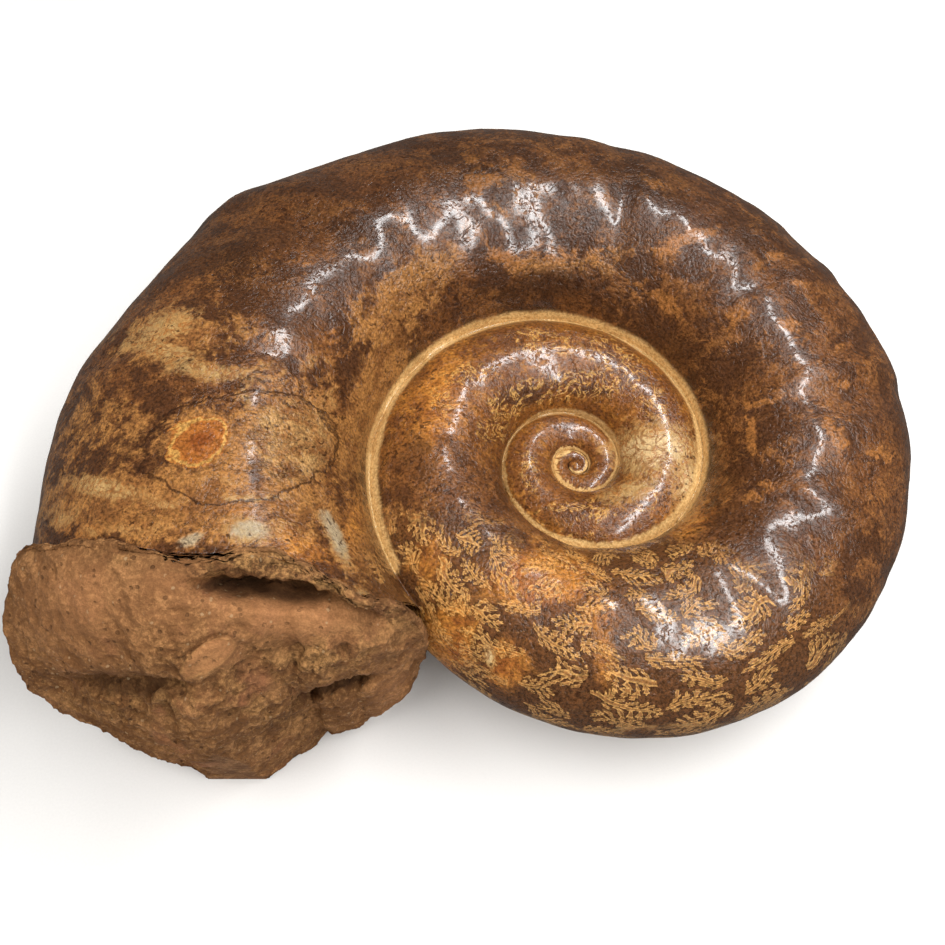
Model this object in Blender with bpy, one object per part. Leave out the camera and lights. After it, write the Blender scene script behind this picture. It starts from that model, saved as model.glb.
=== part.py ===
"""A large polished fossil ammonite lying on its side, with the sandstone that
fills its mouth. Metres, +Z up, origin on the resting plane under the middle."""

import math

import bmesh
import bpy
from mathutils import Matrix, Vector, noise

# Driving dimensions, metres
VENTER_RADIUS = 0.225       # coil centre to the outer edge at turn 0, the left side
CENTRE_HEIGHT = 0.0575      # coil centre above the table
CENTRE_X = 0.0358           # coil centre from the middle of the whole length
CENTRE_Y = -0.0292

# Growth of the spiral: radius = VENTER_RADIUS * exp(GROWTH * turn + BEND * turn^2)
GROWTH = 0.80
BEND = -0.07
FIRST_TURN = -3.3           # where the coil starts at its centre

# One whorl's section, as shares of the venter radius
CREST = 0.66                # where the flank stands highest
HALF_THICKNESS = 0.29
DORSUM = 0.385              # inner wall at turn 0
DORSUM_PER_TURN = 0.05      # the early whorls reach further in
DORSUM_LEAST = 0.28

# Bulges and hollows of the outer edge: turn, half width in turns, share of the radius
SWELLINGS = (
    (-0.780, 0.090, -0.016),    # a little flattened under the front
    (-0.410, 0.090, 0.032),     # the broad shoulder at the right
    (-0.215, 0.030, -0.010),    # a dip at the back
    (-0.125, 0.035, -0.026),    # the dip before the left side
    (-0.075, 0.016, 0.024),     # the last bulge
    (-0.037, 0.022, -0.024),    # the hollow in front of it
    (0.055, 0.040, -0.016),     # drawn in towards the mouth
)

# The coil's axis leans a little, because the mouth is its thickest end
LEAN_X = math.radians(4.0)
LEAN_Y = math.radians(2.3)
START_ANGLE = math.radians(172.3)

# The mouth is broken off along a slanted line, measured from the coil centre
BREAK_Y = -0.0735
BREAK_X = -0.1500
BREAK_SLOPE = -0.16
BREAK_WAVE = 0.0022
MOUTH_TURN = 0.155          # the inner wall of the last whorl ends here
DISH_DEPTH = 0.0170         # the stone inside lies this far behind the shell's edge
JOINT_GAP = 0.0006

# The sandstone that stands out of the mouth, from the coil centre
ROCK_MIDDLE_X = -0.1500
ROCK_MIDDLE_Z = 0.0120
ROCK_TOP = 0.0840           # its highest point under the shell's edge
ROCK_TOP_X = -0.1450
ROCK_SHOULDER = 0.0330      # how far the top has dropped 72 mm to either side
# How far it stands proud of the shell: section angle, half width, both in degrees, and rise
ROCK_STEPS = (
    (0.0, 40.0, 0.0045),
    (-55.0, 26.0, 0.0050),
    (-100.0, 28.0, 0.0062),
)
# How far the stone comes forward, by position along the mouth
ROCK_FORWARD = (
    (-0.245, 0.036),
    (-0.209, 0.046),
    (-0.176, 0.054),
    (-0.149, 0.055),
    (-0.123, 0.043),
    (-0.110, 0.035),
    (-0.079, 0.014),
    (-0.066, 0.004),
)
# Hollows and lumps of its face: x, z, half width, half height, depth (minus stands out)
ROCK_RELIEF = (
    (-0.121, 0.0740, 0.027, 0.0055, 0.0150),    # the hollow under the shell's edge
    (-0.104, 0.0620, 0.022, 0.0070, -0.0030),   # the smooth shelf in front of it
    (-0.163, 0.0500, 0.030, 0.0075, 0.0095),    # the dent at the left
    (-0.192, 0.0600, 0.026, 0.0160, -0.0040),   # the round lobe above that dent
    (-0.100, 0.0190, 0.019, 0.0060, 0.0135),    # the slot at the right
    (-0.086, 0.0370, 0.022, 0.0080, -0.0050),   # the ridge over the slot
    (-0.140, 0.0240, 0.020, 0.0160, -0.0050),   # the lump in the middle
    (-0.178, -0.0020, 0.026, 0.0120, 0.0060),   # the hollow near the foot
    (-0.079, -0.0100, 0.010, 0.0140, -0.0050),  # the knob at the right foot
    (-0.118, -0.0200, 0.012, 0.0180, 0.0050),   # the furrow beside it
)
# Where the face is worn smooth: x, z, half width, half height
ROCK_SMOOTH = (
    (-0.195, 0.0650, 0.030, 0.0200),
    (-0.112, 0.0640, 0.024, 0.0080),
)
SHORTEST_EDGE = 0.00025
ROCK_ROUGHNESS = 0.0030
ROCK_BACK = 0.0240          # how far its raw back reaches before the mouth trims it
ROCK_DETAIL = 5
ROCK_KEPT = 0.50            # share of the faces kept where the stone is plain

LAST_TURN_STATIONS = 50
MIDDLE_TURN_STATIONS = 32
FIRST_TURN_STATIONS = 20
SECTION_POINTS = 30
MOUTH_STATIONS = 6

SHELL_COLOUR = (0.20, 0.075, 0.025, 1.0)
ROCK_COLOUR = (0.27, 0.14, 0.065, 1.0)


def swelling(turn):
    total = 0.0
    for middle, width, rise in SWELLINGS:
        total += rise * math.exp(-((turn - middle) / width) ** 2)
    return total


def venter_radius(turn):
    return VENTER_RADIUS * math.exp(GROWTH * turn + BEND * turn * turn)


def coil_place():
    """From the coil's own upright axis at the origin to the way the fossil lies."""
    axis = Vector((math.sin(LEAN_X), math.sin(LEAN_Y), 0.0))
    axis.z = math.sqrt(1.0 - axis.length_squared)
    lean = Vector((0.0, 0.0, 1.0)).rotation_difference(axis).to_matrix().to_4x4()
    return Matrix.Translation((CENTRE_X, CENTRE_Y, CENTRE_HEIGHT)) @ lean


PLACE = coil_place()


def section_point(turn, angle, grown=0.0):
    """A point of the whorl's skin. Angle 0 is the outer edge, 90 degrees the upper crest."""
    size = venter_radius(turn)
    rise = swelling(turn)
    dorsum = max(DORSUM_LEAST, DORSUM + DORSUM_PER_TURN * turn)
    crest = CREST + 0.4 * rise
    across = math.cos(angle)
    reach = (1.0 + rise - crest) if across > 0.0 else (crest - dorsum)
    radius = size * (crest + reach * across) + grown * across
    height = (size * HALF_THICKNESS + grown) * math.sin(angle)
    swing = START_ANGLE + 2.0 * math.pi * turn
    return PLACE @ Vector((radius * math.cos(swing), radius * math.sin(swing), height))


def break_line(x):
    """Where the shell ends, at this distance along the mouth from the coil centre."""
    wave = math.sin(x * 160.0) + 0.4 * math.sin(x * 265.0 + 1.0)
    return BREAK_Y + BREAK_SLOPE * (x - BREAK_X) + BREAK_WAVE * wave


def turn_at_break(angle):
    """The turn at which the skin line at this section angle meets the broken edge."""
    low = 0.0
    high = MOUTH_TURN
    for _ in range(24):
        middle = 0.5 * (low + high)
        spot = section_point(middle, angle)
        if spot.y - CENTRE_Y > break_line(spot.x - CENTRE_X):
            low = middle
        else:
            high = middle
    return 0.5 * (low + high)


def section_angles():
    return [2.0 * math.pi * i / SECTION_POINTS for i in range(SECTION_POINTS)]


def stations():
    """The turns of the radial sections, closer together where the whorl is large."""
    turns = []
    for start, stop, count in (
        (FIRST_TURN, -2.0, FIRST_TURN_STATIONS),
        (-2.0, -1.0, MIDDLE_TURN_STATIONS),
        (-1.0, 0.0, LAST_TURN_STATIONS),
    ):
        steps = round((stop - start) * count)
        turns += [start + (stop - start) * i / steps for i in range(steps)]
    return turns + [0.0]


def bridge(bm, one, other):
    count = len(one)
    for i in range(count):
        j = (i + 1) % count
        bm.faces.new((one[i], one[j], other[j], other[i]))


def close_fan(bm, ring, tip):
    for i in range(len(ring)):
        bm.faces.new((ring[i], ring[(i + 1) % len(ring)], tip))


def new_object(name, bm, collection, material=None):
    bmesh.ops.recalc_face_normals(bm, faces=bm.faces)
    mesh = bpy.data.meshes.new(name)
    bm.to_mesh(mesh)
    bm.free()
    made = bpy.data.objects.new(name, mesh)
    collection.objects.link(made)
    if material:
        mesh.materials.append(material)
    return made


def cut(target, tool, operation, whole=False):
    """Joins or cuts two closed bodies and keeps the result as the target's mesh."""
    step = target.modifiers.new("join", "BOOLEAN")
    step.operation = operation
    step.solver = "EXACT"
    step.use_self = whole
    step.object = tool
    graph = bpy.context.evaluated_depsgraph_get()
    graph.update()
    result = bpy.data.meshes.new_from_object(target.evaluated_get(graph))
    target.modifiers.remove(step)
    old = target.data
    target.data = result
    bpy.data.meshes.remove(old)


def keep_largest(bm):
    """Deletes the crumbs that a cut leaves beside the main body."""
    left = set(bm.verts)
    pieces = []
    while left:
        piece = set()
        queue = [left.pop()]
        while queue:
            vert = queue.pop()
            piece.add(vert)
            near = {edge.other_vert(vert) for edge in vert.link_edges} & left
            left -= near
            queue += near
        pieces.append(piece)
    pieces.sort(key=len)
    crumbs = [vert for piece in pieces[:-1] for vert in piece]
    bmesh.ops.delete(bm, geom=crumbs, context="VERTS")


def join_close_points(bm):
    """Closes very short edges where the two ends share only the two faces' far corners."""
    short = True
    while short:
        short = None
        for edge in bm.edges:
            if edge.calc_length() < SHORTEST_EDGE:
                one, other = edge.verts
                near = {e.other_vert(one) for e in one.link_edges}
                shared = near & {e.other_vert(other) for e in other.link_edges}
                if len(shared) == 2:
                    short = edge
                    break
        if short:
            one, other = short.verts
            middle = 0.5 * (one.co + other.co)
            if min(one.co.z, other.co.z) < 0.000001:
                middle.z = 0.0
            bmesh.ops.pointmerge(bm, verts=[one, other], merge_co=middle)


def tidy(target, smooth_angle):
    """Merges slivers left by a cut and shades the body."""
    bm = bmesh.new()
    bm.from_mesh(target.data)
    keep_largest(bm)
    bmesh.ops.triangulate(bm, faces=bm.faces)
    join_close_points(bm)
    slits = [edge for edge in bm.edges if edge.is_boundary]
    if slits:
        bmesh.ops.holes_fill(bm, edges=slits, sides=8)
        bmesh.ops.triangulate(bm, faces=bm.faces)
    bmesh.ops.recalc_face_normals(bm, faces=bm.faces)
    for face in bm.faces:
        face.smooth = True
        face.material_index = 0
    for edge in bm.edges:
        edge.smooth = edge.calc_face_angle(0.0) < smooth_angle
    bm.to_mesh(target.data)
    bm.free()


def make_shell(name, collection, material, cutters, grown=0.0):
    """The coiled tube from its first whorl to the broken mouth, as one closed body."""
    bm = bmesh.new()
    angles = section_angles()
    rings = []
    for turn in stations():
        rings.append([bm.verts.new(section_point(turn, a, grown)) for a in angles])
    ends = [turn_at_break(a) for a in angles]
    for step in range(1, MOUTH_STATIONS + 1):
        share = step / MOUTH_STATIONS
        rings.append([bm.verts.new(section_point(e * share, a, grown)) for a, e in zip(angles, ends)])
    for i in range(len(rings) - 1):
        bridge(bm, rings[i], rings[i + 1])
    start = sum((v.co for v in rings[0]), Vector()) / len(angles)
    close_fan(bm, rings[0], bm.verts.new(start))
    rim = rings[-1]
    ahead = Vector((0.0, -1.4 * grown, 0.0))
    for vert in rim:
        vert.co += ahead
    edge = [section_point(e, a) for a, e in zip(angles, ends)]
    middle = sum(edge, Vector()) / len(angles)
    last = rim
    for share in (0.975, 0.90, 0.72, 0.45):
        ring = []
        for point in edge:
            spot = middle + share * (point - middle) + ahead
            spot.y += DISH_DEPTH * (1.0 - share ** 4)
            ring.append(bm.verts.new(spot))
        bridge(bm, last, ring)
        last = ring
    close_fan(bm, last, bm.verts.new(middle + ahead + Vector((0.0, DISH_DEPTH, 0.0))))
    bmesh.ops.triangulate(bm, faces=bm.faces, quad_method="FIXED", ngon_method="EAR_CLIP")
    shell = new_object(name, bm, collection, material)
    core = bmesh.new()
    flat = Matrix.Diagonal((1.0, 1.0, 0.36, 1.0))
    bmesh.ops.create_icosphere(core, subdivisions=2, radius=venter_radius(FIRST_TURN), matrix=PLACE @ flat)
    start_ball = new_object("first_chamber", core, cutters)
    cut(shell, start_ball, "UNION", True)
    return shell


def front_of_rock(x, z):
    """The sandstone's face, as a distance along Y from the coil centre."""
    table = ROCK_FORWARD
    forward = table[0][1] if x <= table[0][0] else table[-1][1]
    for (x0, f0), (x1, f1) in zip(table, table[1:]):
        if x0 < x <= x1:
            share = (x - x0) / (x1 - x0)
            forward = f0 + (f1 - f0) * share * share * (3.0 - 2.0 * share)
    top = ROCK_TOP - ROCK_SHOULDER * ((x - ROCK_TOP_X) / 0.072) ** 2
    high = min(1.0, max(0.0, (z + 0.020) / max(top + 0.020, 0.020)))
    y = break_line(x) - forward * (1.0 - high ** 2.2) ** 0.6
    for middle_x, middle_z, width, height, depth in ROCK_RELIEF:
        away = ((x - middle_x) / width) ** 2 + ((z - middle_z) / height) ** 2
        y += depth * math.exp(-away)
    rough = 1.0
    for middle_x, middle_z, width, height in ROCK_SMOOTH:
        rough -= 0.8 * math.exp(-((x - middle_x) / width) ** 2 - ((z - middle_z) / height) ** 2)
    spot = Vector((x, 0.5 * y, z))
    y += ROCK_ROUGHNESS * rough * noise.noise(spot * 42.0)
    y += 0.6 * ROCK_ROUGHNESS * rough * noise.noise(spot * 105.0 + Vector((3.0, 1.0, 7.0)))
    return y


def rock_rim():
    """The outline of the stone around the mouth: direction, distance and rise over the shell."""
    rim = []
    for i in range(120):
        degrees = 3.0 * i - 180.0
        angle = math.radians(degrees)
        spot = section_point(turn_at_break(angle), angle)
        out_x = spot.x - CENTRE_X - ROCK_MIDDLE_X
        out_z = spot.z - CENTRE_HEIGHT - ROCK_MIDDLE_Z
        rise = -0.0020
        for middle, width, height in ROCK_STEPS:
            rise += height * math.exp(-((degrees - middle) / width) ** 2)
        rim.append((math.atan2(out_z, out_x), math.hypot(out_x, out_z), rise))
    return sorted(rim)


def at_direction(rim, direction):
    """The rim's distance and rise in this direction."""
    full = 2.0 * math.pi
    for i in range(len(rim)):
        one = rim[i - 1]
        other = rim[i]
        gap = (other[0] - one[0]) % full
        share = ((direction - one[0]) % full) / gap if gap > 1e-9 else 2.0
        if share <= 1.0:
            return one[1] + (other[1] - one[1]) * share, one[2] + (other[2] - one[2]) * share
    return rim[0][1], rim[0][2]


def make_rock(name, collection, material):
    """A round ball drawn out to the broken front, the side walls and a back inside the mouth."""
    bm = bmesh.new()
    bmesh.ops.create_icosphere(bm, subdivisions=ROCK_DETAIL, radius=1.0)
    rim = rock_rim()
    front_end = math.radians(112.0)
    side_end = math.radians(140.0)
    for vert in bm.verts:
        polar = math.acos(max(-1.0, min(1.0, -vert.co.y)))
        direction = math.atan2(vert.co.z, vert.co.x)
        reach, rise = at_direction(rim, direction)
        side = min(1.0, max(0.0, (polar - front_end) / (side_end - front_end)))
        if polar < side_end:
            share = min(1.0, math.sin(0.5 * polar) / math.sin(0.5 * front_end))
            away = reach * share + rise * share ** 3
        else:
            share = (math.pi - polar) / (math.pi - side_end)
            away = (reach - 0.0020) * share
        x = ROCK_MIDDLE_X + away * math.cos(direction)
        z = ROCK_MIDDLE_Z + away * math.sin(direction)
        edge = break_line(x) - 0.0004
        front = min(front_of_rock(x, z), edge - 0.0020)
        y = front + (edge - front) * side
        if polar >= side_end:
            y = edge + 0.0020 + ROCK_BACK * (1.0 - share ** 3)
        vert.co = Vector((CENTRE_X + x, CENTRE_Y + y, CENTRE_HEIGHT + z))
    rock = new_object(name, bm, collection, material)
    thin = rock.modifiers.new("thin", "DECIMATE")
    thin.ratio = ROCK_KEPT
    graph = bpy.context.evaluated_depsgraph_get()
    graph.update()
    old = rock.data
    thinned = bpy.data.meshes.new_from_object(rock.evaluated_get(graph))
    rock.modifiers.remove(thin)
    rock.data = thinned
    bpy.data.meshes.remove(old)
    return rock


def make_material(name, colour, roughness, coat):
    made = bpy.data.materials.new(name)
    made.use_nodes = True
    shader = made.node_tree.nodes["Principled BSDF"]
    shader.inputs["Base Color"].default_value = colour
    shader.inputs["Roughness"].default_value = roughness
    shader.inputs["Metallic"].default_value = 0.0
    shader.inputs["Coat Weight"].default_value = coat
    made.diffuse_color = colour
    made.roughness = roughness
    return made


def main():
    for old in list(bpy.data.objects):
        bpy.data.objects.remove(old)
    scene = bpy.context.scene
    kept = bpy.data.collections.new("fossil_ammonite")
    cutters = bpy.data.collections.new("cutters")
    scene.collection.children.link(kept)
    scene.collection.children.link(cutters)
    polished = make_material("polished_fossil", SHELL_COLOUR, 0.22, 0.6)
    rough = make_material("sandstone", ROCK_COLOUR, 0.92, 0.0)

    shell = make_shell("ammonite", kept, polished, cutters)
    rock = make_rock("sandstone_matrix", kept, rough)
    spare = make_shell("shell_with_gap", cutters, None, cutters, JOINT_GAP)
    cut(rock, spare, "DIFFERENCE", True)

    under = bmesh.new()
    bmesh.ops.create_cube(under, size=1.0, matrix=Matrix.Translation((0.0, 0.0, -0.5)))
    table = new_object("table_cut", under, cutters)
    cut(shell, table, "DIFFERENCE")
    cut(rock, table, "DIFFERENCE")
    tidy(shell, math.radians(40.0))
    tidy(rock, math.radians(50.0))
    for tool in cutters.objects:
        tool.hide_render = True
        tool.display_type = "WIRE"


main()
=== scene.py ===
import math

import bmesh
import bpy
import numpy as np
from mathutils import Matrix, Vector, noise
from mathutils.kdtree import KDTree


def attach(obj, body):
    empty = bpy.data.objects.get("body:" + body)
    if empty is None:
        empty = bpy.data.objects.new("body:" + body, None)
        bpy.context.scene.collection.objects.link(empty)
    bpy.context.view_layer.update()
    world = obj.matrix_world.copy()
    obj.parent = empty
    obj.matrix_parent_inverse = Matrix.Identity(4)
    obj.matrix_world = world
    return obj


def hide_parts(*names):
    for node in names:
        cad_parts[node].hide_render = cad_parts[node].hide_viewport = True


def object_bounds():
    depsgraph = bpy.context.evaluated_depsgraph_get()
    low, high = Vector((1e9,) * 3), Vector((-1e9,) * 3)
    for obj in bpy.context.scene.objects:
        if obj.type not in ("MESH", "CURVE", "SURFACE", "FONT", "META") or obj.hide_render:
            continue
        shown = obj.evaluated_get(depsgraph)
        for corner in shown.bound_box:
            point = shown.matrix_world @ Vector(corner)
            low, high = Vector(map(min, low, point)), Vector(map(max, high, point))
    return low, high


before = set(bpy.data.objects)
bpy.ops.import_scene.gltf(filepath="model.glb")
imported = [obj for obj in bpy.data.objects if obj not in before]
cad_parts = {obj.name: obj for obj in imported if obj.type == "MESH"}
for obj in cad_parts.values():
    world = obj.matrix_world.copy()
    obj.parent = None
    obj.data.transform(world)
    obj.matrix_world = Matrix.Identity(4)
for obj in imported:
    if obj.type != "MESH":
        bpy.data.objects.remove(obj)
cadLow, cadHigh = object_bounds()


def deselectAll():
    for piece in bpy.context.selected_objects:
        piece.select_set(False)


def activate(piece):
    deselectAll()
    piece.select_set(True)
    bpy.context.view_layer.objects.active = piece


def nameActive(name):
    piece = bpy.context.active_object
    piece.name = name
    piece.data.name = name
    return piece


def applySteps(piece):
    activate(piece)
    for step in list(piece.modifiers):
        bpy.ops.object.modifier_apply(modifier=step.name)


def readPlaces(mesh):
    places = np.empty(len(mesh.vertices) * 3)
    mesh.vertices.foreach_get("co", places)
    return places.reshape(-1, 3)


def readNormals(mesh):
    normals = np.empty(len(mesh.vertices) * 3)
    mesh.vertex_normals.foreach_get("vector", normals)
    return normals.reshape(-1, 3)


def writePlaces(mesh, places):
    mesh.vertices.foreach_set("co", np.asarray(places, dtype=np.float32).ravel())
    mesh.update()


def keepInside(places):
    # nothing stands outside the plain solid's box
    edge = 0.00002
    return np.clip(places, np.array(cadLow) + edge, np.array(cadHigh) - edge)


# the camera, and the picture that it takes
view = {
    "picture": 945.0,  # points across and down
    "lens": 960.0,  # how far the picture lies behind the lens, in the same points
    "eye": (-0.01067, -0.21780, 0.44784),
    "tilt": 25.4,  # degrees from looking straight down
}


def pictureSpots(places):
    # where in the picture each place is seen: points from the left, points from the top
    tilt = math.radians(view["tilt"])
    away = places - np.array(view["eye"])
    up = away[:, 1] * math.cos(tilt) + away[:, 2] * math.sin(tilt)
    deep = away[:, 1] * math.sin(tilt) - away[:, 2] * math.cos(tilt)
    middle = 0.5 * view["picture"]
    return middle + view["lens"] * away[:, 0] / deep, middle - view["lens"] * up / deep


def spotShare(seen, spot):
    # how far each place lies from a spot's middle along and across it, 1 at its edge
    across, down = seen
    x, y, long, short, turned = spot[:5]
    angle = math.radians(turned)
    along = (across - x) * math.cos(angle) - (down - y) * math.sin(angle)
    beside = (across - x) * math.sin(angle) + (down - y) * math.cos(angle)
    return along / long, beside / short


# the coil
coil = {
    "venterRadius": 0.225,  # coil centre to the outer edge at turn 0, the left side
    "centre": (0.0358, -0.0292, 0.0575),
    "growth": 0.80,  # radius = venterRadius * exp(growth * turn + bend * turn^2)
    "bend": -0.07,
    "firstTurn": -4.0,
    "crest": 0.66,  # where the flank stands highest, share of the radius
    "crestShift": 0.4,  # how far a bulge takes the crest outwards
    "halfThickness": 0.29,
    "dorsum": 0.385,  # inner wall at turn 0
    "dorsumPerTurn": 0.05,
    "dorsumLeast": 0.28,
    "leanX": 4.0,  # degrees that the axis leans
    "leanY": 2.3,
    "startAngle": 172.3,  # degrees of turn 0 round the axis
    # bulges and hollows of the outer edge: turn, half width, share of the radius
    "swellings": (
        (-0.780, 0.090, -0.016),
        (-0.410, 0.090, 0.032),
        (-0.215, 0.030, -0.010),
        (-0.125, 0.035, -0.026),
        (-0.075, 0.016, 0.024),
        (-0.037, 0.022, -0.024),
        (0.055, 0.040, -0.016),
    ),
    "mouthTurn": 0.155,  # the break lies before this turn
    "dishDepth": 0.0170,
    "dishRings": (0.985, 0.94, 0.80, 0.55, 0.25),  # rings across the dish, share of its radius
    "jointGap": 0.0006,  # between the dish and the back of the stone
    "sectionPoints": 30,
    "stationsPerTurn": (21, 42, 84),  # first, middle and last whorl
    "mouthStations": 12,
    "mouthPoints": 90,  # round the mouth, to find its middle
    "halvings": 24,  # tries that find where a line along the skin meets the break
    "smoothing": 2,
    "firstChamber": (0.0030, 0.5),  # radius of the ball in the middle, its height as a share
}

# how deep the polish dips, in metres at the mouth and less where the coil is small
dips = {
    # the turns where the low ribs stand highest
    "ribs": (
        -0.950, -0.890, -0.835, -0.785, -0.735, -0.688, -0.640, -0.592, -0.532, -0.486, -0.434,
        -0.382, -0.338, -0.304, -0.268, -0.232, -0.187, -0.134, -0.092, -0.047, -0.005, 0.024,
    ),
    "ribWidth": 0.016,  # half width in turns
    "ribDepth": 0.0021,
    "ribSide": (78.0, 48.0),  # degrees round the whorl where they are strongest, half width
    "ribSway": (0.006, 70.0),  # how far a rib strays from its turn, and how often
    "ribSlant": 0.0001,  # turns per degree round the whorl
    "firstRib": -0.98,
    "faint": (0.25, -0.66, 0.08),  # share of the depth before this turn, full so much later
    # deeper on the right side, shallower at the top: turn, half width, share
    "uneven": ((-0.45, 0.10, 0.95), (-0.22, 0.13, -0.72)),
    "ribsEnd": (0.055, 0.050),  # turn where they are gone, turns over which they fade
    "foldSide": (60.0, 60.0),  # as ribSide, for the folds
    # single folds: turn, half width in turns, depth
    "folds": (
        (-0.606, 0.008, 0.0010), (-0.546, 0.008, 0.0010), (-0.500, 0.008, 0.0010),
        (-0.449, 0.009, 0.0018), (-0.395, 0.008, 0.0010), (-0.350, 0.008, 0.0008),
        (-0.248, 0.009, 0.0008), (-0.060, 0.008, 0.0010),
    ),
    "lumps": ((34.0, 0.0011), (72.0, 0.0006), (150.0, 0.00020)),  # lumps per metre, depth
    "lumpFloor": 0.35,  # the higher, the fewer places stay flat
    "smallCoil": 0.25,  # lumps at the middle, as a share of those at the mouth
    "calmMouth": (0.7, 0.020, 0.050),  # share lost at the mouth, from this turn, over so many
}

# the mouth's broken edge from the coil centre: along the mouth, and to the back, minus is forward
broken = (
    (-0.235, -0.0600), (-0.215, -0.0612), (-0.194, -0.0656), (-0.173, -0.0680), (-0.157, -0.0736),
    (-0.143, -0.0762), (-0.133, -0.0748), (-0.122, -0.0721), (-0.114, -0.0710), (-0.106, -0.0748),
    (-0.096, -0.0793), (-0.086, -0.0848), (-0.073, -0.0826), (-0.060, -0.0840),
)


def bell(values, middle, width):
    return np.exp(-((values - middle) / width) ** 2)


def climb(values, start, length):
    # 0 before the start, 1 after the length, which is minus for a fall
    return np.clip((values - start) / length, 0.0, 1.0)


def alongTable(table, x):
    # a smooth line through a table's places
    for (x0, y0), (x1, y1) in zip(table, table[1:]):
        if x < x1:
            share = min(1.0, max(0.0, (x - x0) / (x1 - x0)))
            return y0 + (y1 - y0) * share * share * (3.0 - 2.0 * share)
    return table[-1][1]


def swelling(turn):
    total = 0.0
    for middle, width, rise in coil["swellings"]:
        total += rise * math.exp(-((turn - middle) / width) ** 2)
    return total


def venterRadius(turn):
    return coil["venterRadius"] * math.exp(coil["growth"] * turn + coil["bend"] * turn * turn)


def coilPlace():
    axis = Vector((math.sin(math.radians(coil["leanX"])), math.sin(math.radians(coil["leanY"])), 0.0))
    axis.z = math.sqrt(1.0 - axis.length_squared)
    lean = Vector((0.0, 0.0, 1.0)).rotation_difference(axis).to_matrix().to_4x4()
    return Matrix.Translation(coil["centre"]) @ lean


coilMatrix = coilPlace()


def innerWall(turn):
    return max(coil["dorsumLeast"], coil["dorsum"] + coil["dorsumPerTurn"] * turn)


def crestShare(rise):
    return coil["crest"] + coil["crestShift"] * rise


def skinPoint(turn, angle):
    size = venterRadius(turn)
    rise = swelling(turn)
    dorsum = innerWall(turn)
    crest = crestShare(rise)
    across = math.cos(angle)
    reach = (1.0 + rise - crest) if across > 0.0 else (crest - dorsum)
    radius = size * (crest + reach * across)
    height = size * coil["halfThickness"] * math.sin(angle)
    swing = math.radians(coil["startAngle"]) + 2.0 * math.pi * turn
    return coilMatrix @ Vector((radius * math.cos(swing), radius * math.sin(swing), height))


def breakLine(x):
    # where the shell ends, at this distance along the mouth from the coil centre
    return alongTable(broken, x)


def turnAtBreak(angle):
    low = 0.0
    high = coil["mouthTurn"]
    for _ in range(coil["halvings"]):
        middle = 0.5 * (low + high)
        spot = skinPoint(middle, angle)
        if spot.y - coil["centre"][1] > breakLine(spot.x - coil["centre"][0]):
            low = middle
        else:
            high = middle
    return 0.5 * (low + high)


def mouthMiddle():
    count = coil["mouthPoints"]
    angles = [2.0 * math.pi * i / count for i in range(count)]
    return sum((skinPoint(turnAtBreak(angle), angle) for angle in angles), Vector()) / count


def dishSink(share):
    # how far the broken mouth is hollow, at this share of its radius
    return coil["dishDepth"] * (1.0 - share ** 4)


def stationTurns():
    turns = []
    spans = ((coil["firstTurn"], -2.0), (-2.0, -1.0), (-1.0, 0.0))
    for (start, stop), count in zip(spans, coil["stationsPerTurn"]):
        steps = round((stop - start) * count)
        turns += [start + (stop - start) * i / steps for i in range(steps)]
    return turns + [0.0]


def readLayer(mesh, name):
    values = np.empty(len(mesh.vertices))
    mesh.attributes[name].data.foreach_get("value", values)
    return values


def roundAngles(mesh):
    return np.arctan2(readLayer(mesh, "ringSin"), readLayer(mesh, "ringCos"))


def markRing(mesh, turn=None, share=None, dish=1.0):
    # notes on the newest ring where along the coil it belongs
    bm = bmesh.from_edit_mesh(mesh)
    turnLayer = bm.verts.layers.float["turn"]
    dishLayer = bm.verts.layers.float["dish"]
    cosLayer = bm.verts.layers.float["ringCos"]
    sinLayer = bm.verts.layers.float["ringSin"]
    for vert in bm.verts:
        if vert.select:
            if turn is None:
                angle = math.atan2(vert[sinLayer], vert[cosLayer])
                vert[turnLayer] = share * turnAtBreak(angle)
            else:
                vert[turnLayer] = turn
            vert[dishLayer] = dish


def makeShell():
    deselectAll()
    size = venterRadius(coil["firstTurn"])
    middle = size * coil["crest"]
    bpy.ops.mesh.primitive_circle_add(
        vertices=coil["sectionPoints"], radius=size * coil["halfThickness"],
        location=(middle, 0.0, 0.0), rotation=(math.pi / 2.0, 0.0, 0.0))
    shell = nameActive("ammonite_shell")
    bpy.ops.object.transform_apply(location=True, rotation=True, scale=True)
    mesh = shell.data
    for layer in ("turn", "dish", "ringCos", "ringSin"):
        mesh.attributes.new(layer, "FLOAT", "POINT")
    for vert in mesh.vertices:
        angle = math.atan2(vert.co.z, vert.co.x - middle)
        mesh.attributes["ringCos"].data[vert.index].value = math.cos(angle)
        mesh.attributes["ringSin"].data[vert.index].value = math.sin(angle)
    activate(shell)
    bpy.ops.object.mode_set(mode="EDIT")
    bpy.ops.mesh.select_all(action="SELECT")
    turns = stationTurns()
    markRing(mesh, turn=turns[0])
    hub = (0.0, 0.0, 0.0)
    for turn, following in zip(turns, turns[1:]):
        grown = venterRadius(following) / venterRadius(turn)
        bpy.ops.mesh.extrude_region_move()
        swing = -2.0 * math.pi * (following - turn)
        bpy.ops.transform.rotate(value=swing, orient_axis="Z", center_override=hub)
        bpy.ops.transform.resize(value=(grown, grown, grown), center_override=hub)
        markRing(mesh, turn=following)
    steps = coil["mouthStations"]
    for step in range(1, steps + 1):
        bpy.ops.mesh.extrude_region_move()
        markRing(mesh, share=step / steps)
    bpy.ops.transform.edge_crease(value=1.0)
    for share in (*coil["dishRings"], 0.0):
        bpy.ops.mesh.extrude_region_move()
        markRing(mesh, share=1.0, dish=share)
    bpy.ops.object.mode_set(mode="OBJECT")
    settleRings(shell)
    closeEnds(shell)
    return shell


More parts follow.
